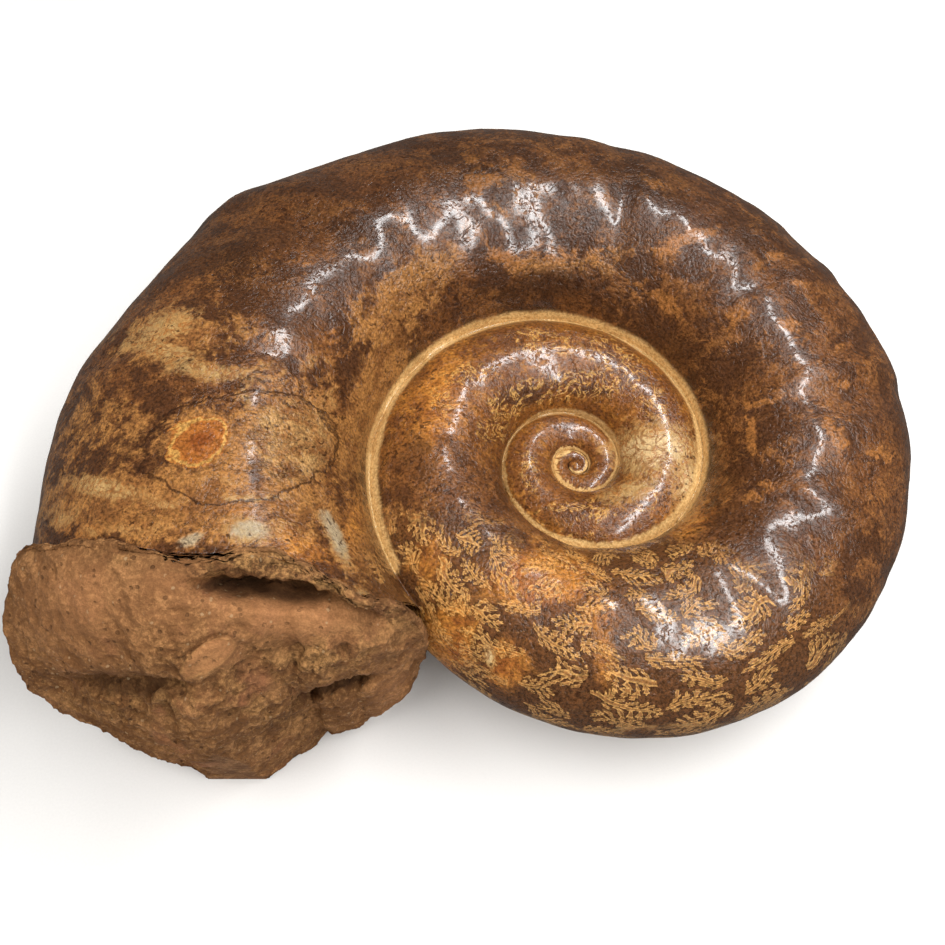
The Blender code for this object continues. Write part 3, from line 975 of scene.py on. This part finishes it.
    # the flat growth near the mouth: curled lumps, an agate eye, a thin dark outline
    curls = patch("lumps", 0.3, 1.1, 0.7)
    colour = b.blend(curls * 0.40, colour, b.blend(b.ramp(cloud, 0.42, 0.60), c["light"], c["paleAndReflection"]))
    colour = b.blend(curls * b.ramp(thread, 0.07, 0.03) * 0.5, colour, c["leafRim"])
    colour = b.blend(curls * b.near(thread, 0.12, 0.05, 0.02) * 0.4, colour, c["paleAndReflection"])
    ring = b.mask("eye") + (cloud - 0.5) * 1.5 + (broad - 0.5) * 1.2
    agate = b.blend(b.ramp(ring, 0.10, 0.60), c["eye"], c["eyeGold"])
    agate = b.blend(b.near(ring, 0.98, 0.13, 0.03) * 0.85, agate, c["eyeRim"])
    agate = b.blend(b.near(ring, 0.72, 0.06, 0.01) * 0.6, agate, c["eye"])
    colour = b.blend(b.ramp(ring, 1.20, 1.08), colour, agate)
    border = b.mask("edge") + (cloud - 0.5) * 0.55
    colour = b.blend(b.near(border, 1.0, 0.035, 0.008) * 0.75, colour, c["leafRim"])

    # fine grain, painted shade over the top band and the inner wall below it, partly their own darker
    # colour, small dark hollows
    grain = 0.58 + 0.72 * grit
    grain = grain + b.most(paleAndReflection * 0.55, cream * 0.6) * (0.98 - grain)
    colour = b.scaled(colour, grain * (1.0 - 0.36 * b.within(b.mask("shade")) * (1.0 - cream)))
    hollow = b.ramp(b.noise(bent, *n["hollow"]) + (broad - 0.5) * 0.5, 0.66, 0.71)
    colour = b.blend(hollow * 0.75 * (1.0 - 0.8 * cream), colour, c["leafRim"])
    colour = b.add("VectorMath", {"operation": "MULTIPLY"}, {0: colour, 1: f["tint"]})

    rise = (cloud - 0.5) * f["cloud"] + (fleck - 0.5) * f["fleck"] + (fine - 0.5) * f["fine"]
    rise = rise + (curl - 0.5) * f["curl"] + b.ramp(border, 1.03, 0.97) * f["growth"]
    smoothest, added = f["roughness"]
    sockets = {
        "Base Color": colour, "Roughness": smoothest + added * grit, "Specular IOR Level": f["shine"],
        "Coat Weight": b.ramp(curl, 0.40, 0.56) * f["coat"] * (1.0 - hollow),
        "Coat Roughness": f["coatRoughness"],
    }
    return b.finish(sockets, rise)


print("scene: the shell")
shell = makeShell()
smooth = shell.modifiers.new("smooth", "SUBSURF")
smooth.levels = smooth.render_levels = coil["smoothing"]
applySteps(shell)
paintSkinMap(shell)
sinkSkin(shell)
addFirstChamber(shell)
paintShell(shell)
activate(shell)
bpy.ops.object.shade_smooth()
shell.data.materials.append(makeSkinMaterial())
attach(shell, "root")
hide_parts("ammonite")


# the sandstone in the mouth, measured from the coil centre
rock = {
    "detail": 7,
    "middleX": -0.1500,
    "middleZ": 0.0120,
    "top": 0.0840,  # its highest point under the shell's edge
    "topX": -0.1450,
    "shoulder": (0.0330, 0.072),  # how far the top drops, and how far to either side
    "foot": -0.020,
    "bulge": (2.2, 0.6),  # how full its front is from foot to top
    "frontEnd": 138.0,  # degrees from the front where the face ends
    "sideEnd": 154.0,  # and where the side ends
    # in radians: where the grain ends past the face and before the side's end, each with its fade
    "grainFade": (0.10, 0.20, 0.02, 0.08),
    "sideGrain": 0.7,  # share of the grain on the side
    "leastStep": 0.0009,  # how far it stands proud of the shell all round
    # and how much more in places: section angle, half width in degrees, rise
    "steps": ((0.0, 40.0, 0.0045), (-55.0, 26.0, 0.0050), (-100.0, 28.0, 0.0062)),
    # how far the stone comes forward, by position along the mouth
    "forward": (
        (-0.245, 0.036), (-0.209, 0.046), (-0.176, 0.054), (-0.149, 0.055),
        (-0.123, 0.043), (-0.110, 0.035), (-0.079, 0.014), (-0.066, 0.004),
    ),
    # hollows and lumps in the picture's points: x, y, half length, half height, degrees,
    # depth in metres (minus stands out), edge (1 soft, 4 sharp), slope (1 deepest at its upper edge)
    "relief": (
        (90, 602, 86, 58, 4, -0.0040, 1.0, 0.0),  # the round lobe at the upper left
        (256, 594, 66, 17, -4, 0.0260, 3.0, 0.95),  # the hollow under the broken lip
        (230, 592, 30, 11, 0, 0.0130, 2.4, 0.9),
        (330, 606, 62, 13, -18, 0.0100, 2.6, 0.8),  # its shallow end
        (262, 566, 70, 13, -6, -0.0030, 1.6, 0.0),  # the lip
        (356, 592, 44, 11, -24, -0.0025, 1.6, 0.0),
        (300, 626, 70, 16, -12, -0.0022, 1.6, 0.0),  # the smooth shelf below
        (190, 600, 26, 30, 50, 0.0035, 1.5, 0.4),
        (120, 687, 66, 14, -3, 0.0150, 1.6, 0.9),  # the dent at the left
        (70, 690, 34, 12, 16, 0.0040, 1.6, 0.8),
        (336, 690, 42, 9, 17, 0.0220, 2.4, 0.9),  # the slot at the right
        (300, 700, 22, 9, -30, 0.0060, 2.0, 0.6),
        (330, 657, 76, 15, 14, -0.0045, 1.3, 0.0),  # the ridge over the slot
        (388, 652, 26, 13, -30, -0.0030, 1.5, 0.0),
        (392, 690, 28, 22, 0, -0.0045, 1.2, 0.0),  # the knob at the right
        (262, 668, 46, 9, -38, 0.0045, 1.8, 0.5),  # the gully beside the plate
        (211, 659, 33, 15, 32, -0.0018, 5.0, 0.0),  # the thin plate
        (210, 640, 30, 5, 28, 0.0022, 1.5, 0.3),
        (225, 712, 56, 24, 0, -0.0035, 1.2, 0.0),  # the belly below
        (150, 712, 40, 12, -16, 0.0035, 1.5, 0.5),
        (300, 722, 40, 10, 28, 0.0045, 1.8, 0.6),
        (180, 745, 30, 9, -28, 0.0030, 1.6, 0.6),
        (125, 551, 10, 5, 0, 0.0060, 2.0, 0.3),  # small holes along the lip
        (156, 556, 9, 4, 0, 0.0045, 2.0, 0.3),
        (204, 566, 8, 4, 0, 0.0035, 2.0, 0.3),
        (228, 562, 20, 4, 14, 0.0024, 2.0, 0.6),
        (300, 572, 26, 5, -10, 0.0028, 2.0, 0.5),
        (350, 590, 24, 5, -22, 0.0028, 2.0, 0.5),
    ),
    # where the face is worn smooth, and where the lip is crumbly
    "smooth": (
        (300, 616, 74, 22, -12, 1.0), (212, 658, 26, 12, 32, 1.0), (90, 600, 74, 46, 4, 0.5),
        (165, 580, 40, 16, 0, 0.5), (392, 690, 20, 30, 0, 0.4),
    ),
    "crumbly": (
        (205, 572, 26, 10, 0, 1.0), (265, 566, 60, 12, -4, 1.2), (345, 588, 50, 11, -22, 1.2),
        (385, 612, 26, 10, -30, 1.0), (125, 552, 22, 8, 0, 0.8), (330, 652, 60, 16, 14, 0.7),
        (240, 690, 60, 16, -30, 0.5), (150, 700, 60, 14, 0, 0.5),
    ),
    "plate": (209, 657, 30, 12, 34),
    # painted shadow: where the hollows are darkened
    "paintedShadow": (
        (222, 588, 32, 7, 0, 1.1), (268, 598, 40, 5, -10, 0.8), (306, 602, 16, 4, -20, 0.6),
        (128, 690, 48, 9, -3, 1.0), (78, 686, 24, 5, 12, 0.5), (332, 690, 30, 6, 17, 1.0),
        (366, 678, 16, 4, 20, 0.7), (128, 552, 12, 5, 0, 1.0), (158, 558, 12, 4, -20, 0.8),
    ),
    # roughness of the broken face: bumps per metre, height
    "rough": ((42.0, 0.0020), (105.0, 0.0021), (250.0, 0.0013), (620.0, 0.0007)),
    "creases": (0.45, -1.6),  # all but the largest bumps are creased: height between, and cut
    "crumble": 0.7,  # how much rougher the crumbly places are
    "polish": 0.82,  # and how much smoother the worn ones
    "leastGrain": -0.01,  # how deep the grain may cut into the face
    "lap": (0.0010, 0.0026),  # how far the stone reaches over the shell's edge, least and most
    "lapRough": (130.0, 420.0, 0.6),  # coarse and fine tears per metre, share of the fine ones
    "thinnest": 0.0020,
    "tuck": 0.0035,  # how far its side draws in at the shell
    "backShare": 0.955,  # how much of the mouth its back fills
}


def frontOfRock(x, z):
    drop, away = rock["shoulder"]
    full, blunt = rock["bulge"]
    foot = rock["foot"]
    top = rock["top"] - drop * ((x - rock["topX"]) / away) ** 2
    high = min(1.0, max(0.0, (z - foot) / max(top - foot, -foot)))
    return breakLine(x) - alongTable(rock["forward"], x) * (1.0 - high ** full) ** blunt


def reliefDepth(seen):
    # how far each seen place is pushed back, away from the camera
    total = np.zeros(len(seen[0]))
    for x, y, long, short, turned, depth, edge, slope in rock["relief"]:
        along, beside = spotShare(seen, (x, y, long, short, turned))
        inside = np.exp(-(along ** 2 + beside ** 2) ** edge)
        total += depth * inside * np.clip(1.0 - slope * beside, 0.0, 2.0) / (1.0 + slope)
    return total


def carveRock(stone, front, side):
    # the seen relief first, then the grain of the broken stone
    mesh = stone.data
    places = readPlaces(mesh)
    seen = pictureSpots(places)
    depth = reliefDepth(seen) * front
    tilt = math.radians(view["tilt"])
    sight = np.array((0.0, math.sin(tilt), -math.cos(tilt)))
    worn = np.minimum(1.0, patchDepth(seen, rock["smooth"]) * 1.3) * front
    crumbly = np.minimum(1.2, patchDepth(seen, rock["crumbly"])) * front
    writePlaces(mesh, places + sight * depth[:, None])
    places = readPlaces(mesh)
    normals = readNormals(mesh)
    grain = np.zeros(len(places))
    between, cut = rock["creases"]
    for layer, (often, height) in enumerate(rock["rough"]):
        shift = Vector((3.0 * layer, layer, 7.0 * layer))
        values = np.array([noise.noise(Vector(place) * often + shift) for place in places])
        if layer > 0:
            values = (between + cut * np.abs(values)) * (1.0 + rock["crumble"] * crumbly)
        grain += height * values
    grain *= (1.0 - rock["polish"] * worn) * np.maximum(front, side)
    # beside the shell the grain only stands out, so that no gap opens there
    grain = np.maximum(grain, rock["leastGrain"] * front)
    writePlaces(mesh, keepInside(places + normals * grain[:, None]))
    paintedShadow = np.minimum(1.2, patchDepth(seen, rock["paintedShadow"])) * front
    plate = 3.0 - (3.0 - spotMask(seen, rock["plate"])) * front
    masks = {"hollow": depth, "worn": worn, "crumbly": crumbly, "grain": grain, "paintedShadow": paintedShadow, "plate": plate}
    for name, values in masks.items():
        paintMask(mesh, name, values)


def rockRim():
    # the outline of the stone round the mouth: direction, distance and rise over the shell
    rim = []
    for degrees in range(-180, 180, 2):
        angle = math.radians(degrees)
        spot = skinPoint(turnAtBreak(angle), angle)
        outX = spot.x - coil["centre"][0] - rock["middleX"]
        outZ = spot.z - coil["centre"][2] - rock["middleZ"]
        rise = rock["leastStep"]
        for middle, width, height in rock["steps"]:
            rise += height * math.exp(-((degrees - middle) / width) ** 2)
        rim.append((math.atan2(outZ, outX), math.hypot(outX, outZ), rise))
    return np.array(sorted(rim))


def makeRock():
    deselectAll()
    bpy.ops.mesh.primitive_ico_sphere_add(subdivisions=rock["detail"], radius=1.0)
    stone = nameActive("sandstone_lump")
    mesh = stone.data
    ball = readPlaces(mesh)
    rim = rockRim()
    direction = np.arctan2(ball[:, 2], ball[:, 0])
    polar = np.arccos(np.clip(-ball[:, 1], -1.0, 1.0))
    reach = np.interp(direction, rim[:, 0], rim[:, 1], period=2.0 * math.pi)
    rise = np.interp(direction, rim[:, 0], rim[:, 2], period=2.0 * math.pi)
    frontEnd = math.radians(rock["frontEnd"])
    sideEnd = math.radians(rock["sideEnd"])
    share = np.minimum(1.0, np.sin(0.5 * polar) / math.sin(0.5 * frontEnd))
    side = climb(polar, frontEnd, sideEnd - frontEnd)
    away = reach * share + rise * share ** 3 - rock["tuck"] * climb(side, 0.75, 0.25)
    x = rock["middleX"] + away * np.cos(direction)
    z = rock["middleZ"] + away * np.sin(direction)
    dish = mouthMiddle() - Vector(coil["centre"])
    settled = np.empty((len(ball), 3))
    least, most = rock["lap"]
    coarse, fine, fineShare = rock["lapRough"]
    for i in range(len(ball)):
        if polar[i] < sideEnd:
            ragged = noise.noise(Vector((x[i] * coarse, z[i] * coarse, 5.0)))
            ragged += fineShare * noise.noise(Vector((x[i] * fine, z[i] * fine, 9.0)))
            edge = breakLine(x[i]) + least + (most - least) * (0.5 + 0.8 * ragged)
            front = min(frontOfRock(x[i], z[i]), edge - rock["thinnest"])
            settled[i] = (x[i], front + (edge - front) * side[i], z[i])
        else:
            inward = rock["backShare"] * (math.pi - polar[i]) / (math.pi - sideEnd)
            rimX = rock["middleX"] + reach[i] * math.cos(direction[i])
            rimZ = rock["middleZ"] + reach[i] * math.sin(direction[i])
            spot = dish + (Vector((rimX, breakLine(rimX), rimZ)) - dish) * inward
            spot.y += dishSink(inward) - coil["jointGap"]
            settled[i] = spot
    writePlaces(mesh, settled + np.array(coil["centre"]))
    late, fade, early, sideFade = rock["grainFade"]
    front = climb(polar, frontEnd + late, -fade)
    carveRock(stone, front, rock["sideGrain"] * climb(polar, sideEnd - early, -sideFade))
    return stone


sandstone = {
    # how many per metre, detail, roughness and distortion
    "noise": {
        "broad": (26.0, 4.0, 0.6, 0.4),
        "cloud": (95.0, 5.0, 0.68, 0.5),
        "grain": (620.0, 4.0, 0.75),
        "sand": (1700.0, 2.0, 0.6),
    },
    # heights of its fine relief in metres, and how the light comes back
    "finish": {
        "cloud": 0.0007,
        "grain": 0.0008,
        "wornGrain": 0.0005,  # what the worn places lose of it
        "sand": 0.00022,
        "fleck": 0.00015,
        "pit": 0.0004,
        "specks": 420.0,  # light and dark specks per metre
        "tone": 0.98,
        "roughness": 0.9,
        "shine": 0.2,
    },
    "colours": {
        "deep": (106, 70, 40),
        "brown": (140, 98, 60),
        "tan": (172, 126, 80),
        "red": (140, 90, 62),
        "yellow": (176, 134, 80),
        "worn": (170, 118, 76),
        "plate": (156, 108, 68),
        "shade": (60, 38, 22),
        "grain": (214, 184, 140),
    },
}


def makeRockMaterial():
    b = Bench("brown_sandstone")
    f, c = sandstone["finish"], paintAll(sandstone["colours"])
    spot = b.add("TexCoord", {}, {}, out=3)
    broad, cloud, grain, sand = (b.noise(spot, *values) for values in sandstone["noise"].values())
    worn = b.mask("worn")
    colour = b.blend(b.ramp(broad * 0.4 + cloud * 0.6, 0.40, 0.60), c["deep"], c["brown"])
    colour = b.blend(b.ramp(broad, 0.52, 0.66) * 0.6, colour, c["red"])
    colour = b.blend(b.ramp(grain * 0.6 + cloud * 0.4, 0.50, 0.62) * 0.6, colour, c["tan"])
    colour = b.blend(worn * 0.7, colour, c["worn"])
    colour = b.blend(b.mask("crumbly") * b.ramp(cloud, 0.40, 0.60) * 0.6, colour, c["yellow"])
    colour = b.blend(b.mask("crumbly") * b.ramp(grain, 0.54, 0.42) * 0.55, colour, c["shade"])
    plate = b.mask("plate") + (cloud - 0.5) * 0.7 + (grain - 0.5) * 0.35
    colour = b.blend(b.ramp(plate, 1.04, 0.90) * 0.5, colour, c["plate"])
    colour = b.blend(b.near(plate, 0.98, 0.07, 0.02) * 0.22, colour, c["yellow"])
    colour = b.blend(b.near(plate, 1.14, 0.14, 0.03) * 0.30, colour, c["shade"])
    # painted shade: darker where the seen relief is pushed back deepest
    colour = b.blend(b.ramp(b.mask("hollow"), 0.004, 0.013) * 0.45, colour, c["shade"])
    # painted shadow in the listed hollows
    colour = b.blend(b.ramp(b.mask("paintedShadow") + (cloud - 0.5) * 0.5, 0.25, 0.85) * 0.62, colour, c["shade"])
    # darker where the grain of the broken face dips in
    colour = b.scaled(colour, 0.72 + 0.28 * b.ramp(b.mask("grain"), -0.0022, 0.0008))
    colour = b.scaled(colour, 0.80 + 0.34 * b.ramp(grain * 0.6 + sand * 0.4, 0.38, 0.62))
    specks = {"Vector": spot, "Scale": f["specks"]}
    cells = b.add("TexVoronoi", {}, specks)
    picked = b.parts(b.add("TexVoronoi", {}, specks, out=1))[0]
    fleck = b.ramp(cells + (grain - 0.5) * 1.1, 0.28, 0.16) * b.ramp(picked, 0.88, 0.94)
    colour = b.blend(fleck * 0.3, colour, c["grain"])
    pit = b.ramp(cells, 0.40, 0.25) * b.ramp(picked, 0.14, 0.10)
    colour = b.blend(pit * 0.6 * (1.0 - worn * 0.5), colour, c["shade"])
    colour = b.scaled(colour, f["tone"])
    rise = (cloud - 0.5) * f["cloud"] + (grain - 0.5) * (f["grain"] - f["wornGrain"] * worn)
    rise = rise + (sand - 0.5) * f["sand"] + fleck * f["fleck"] - pit * f["pit"]
    sockets = {"Base Color": colour, "Roughness": f["roughness"], "Specular IOR Level": f["shine"]}
    return b.finish(sockets, rise)


print("scene: the sandstone")
stone = makeRock()
stone.data.materials.append(makeRockMaterial())
activate(stone)
bpy.ops.object.shade_smooth()
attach(stone, "root")
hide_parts("sandstone_matrix")


studio = {
    # each lamp: place, length, width, power, whether the polish mirrors it
    "lamps": {
        "front": ((-0.10, -0.90, 0.80), 1.00, 0.60, 2.8, False),
        "window": ((0.60, 0.06, 1.30), 1.90, 0.12, 28.5, True),
    },
    # broad soft light from above and a little to the left: place, strength, spread in degrees
    "skylight": ((-0.60, 0.00, 1.50), 1.75, 38.0),
    "aim": (0.0, 0.0, 0.05),  # what the lamps point at
    "fill": 0.13,
    "fillColour": (1.0, 0.96, 0.90, 1.0),
    "floorSize": 8.0,
    "floorDrop": 0.0004,
    "floorColours": {"darker": (222, 220, 217), "lighter": (228, 226, 223)},
    "floorRoughness": 0.7,
}


def makeFloor():
    deselectAll()
    bpy.ops.mesh.primitive_plane_add(size=studio["floorSize"], location=(0.0, 0.0, -studio["floorDrop"]))
    floor = nameActive("floor")
    b = Bench("pale_floor")
    spot = b.add("TexCoord", {}, {}, out=3)
    paper = b.noise(spot, 2.5, 3.0, 0.5) * 0.7 + b.noise(spot, 900.0, 2.0, 0.6) * 0.3
    paper = b.blend(b.ramp(paper, 0.35, 0.65), *paintAll(studio["floorColours"]).values())
    floor.data.materials.append(b.finish({"Base Color": paper, "Roughness": studio["floorRoughness"]}))
    floor.visible_glossy = False


def hangLamp(name, kind, place, power, mirrored):
    lamp = bpy.data.lights.new(name, kind)
    lamp.energy = power
    holder = bpy.data.objects.new(name, lamp)
    holder.location = place
    holder.rotation_euler = (Vector(studio["aim"]) - Vector(place)).to_track_quat("-Z", "Y").to_euler()
    holder.visible_glossy = mirrored
    bpy.context.scene.collection.objects.link(holder)
    return lamp


print("scene: the studio")
camera = bpy.data.cameras.new("camera")
camera.lens = camera.sensor_width * view["lens"] / view["picture"]
camera.clip_start = 0.01
eye = bpy.data.objects.new("camera", camera)
bpy.context.scene.collection.objects.link(eye)
eye.location = view["eye"]
eye.rotation_euler = (math.radians(view["tilt"]), 0.0, 0.0)
bpy.context.scene.camera = eye

makeFloor()
for name, (place, length, width, power, mirrored) in studio["lamps"].items():
    lamp = hangLamp(name, "AREA", place, power, mirrored)
    lamp.shape = "RECTANGLE"
    lamp.size = length
    lamp.size_y = width
place, strength, spread = studio["skylight"]
hangLamp("skylight", "SUN", place, strength, False).angle = math.radians(spread)
world = bpy.data.worlds.new("studio")
world.use_nodes = True
background = world.node_tree.nodes["Background"]
background.inputs[0].default_value = studio["fillColour"]
background.inputs[1].default_value = studio["fill"]
bpy.context.scene.world = world
bpy.context.scene.view_settings.view_transform = "Standard"
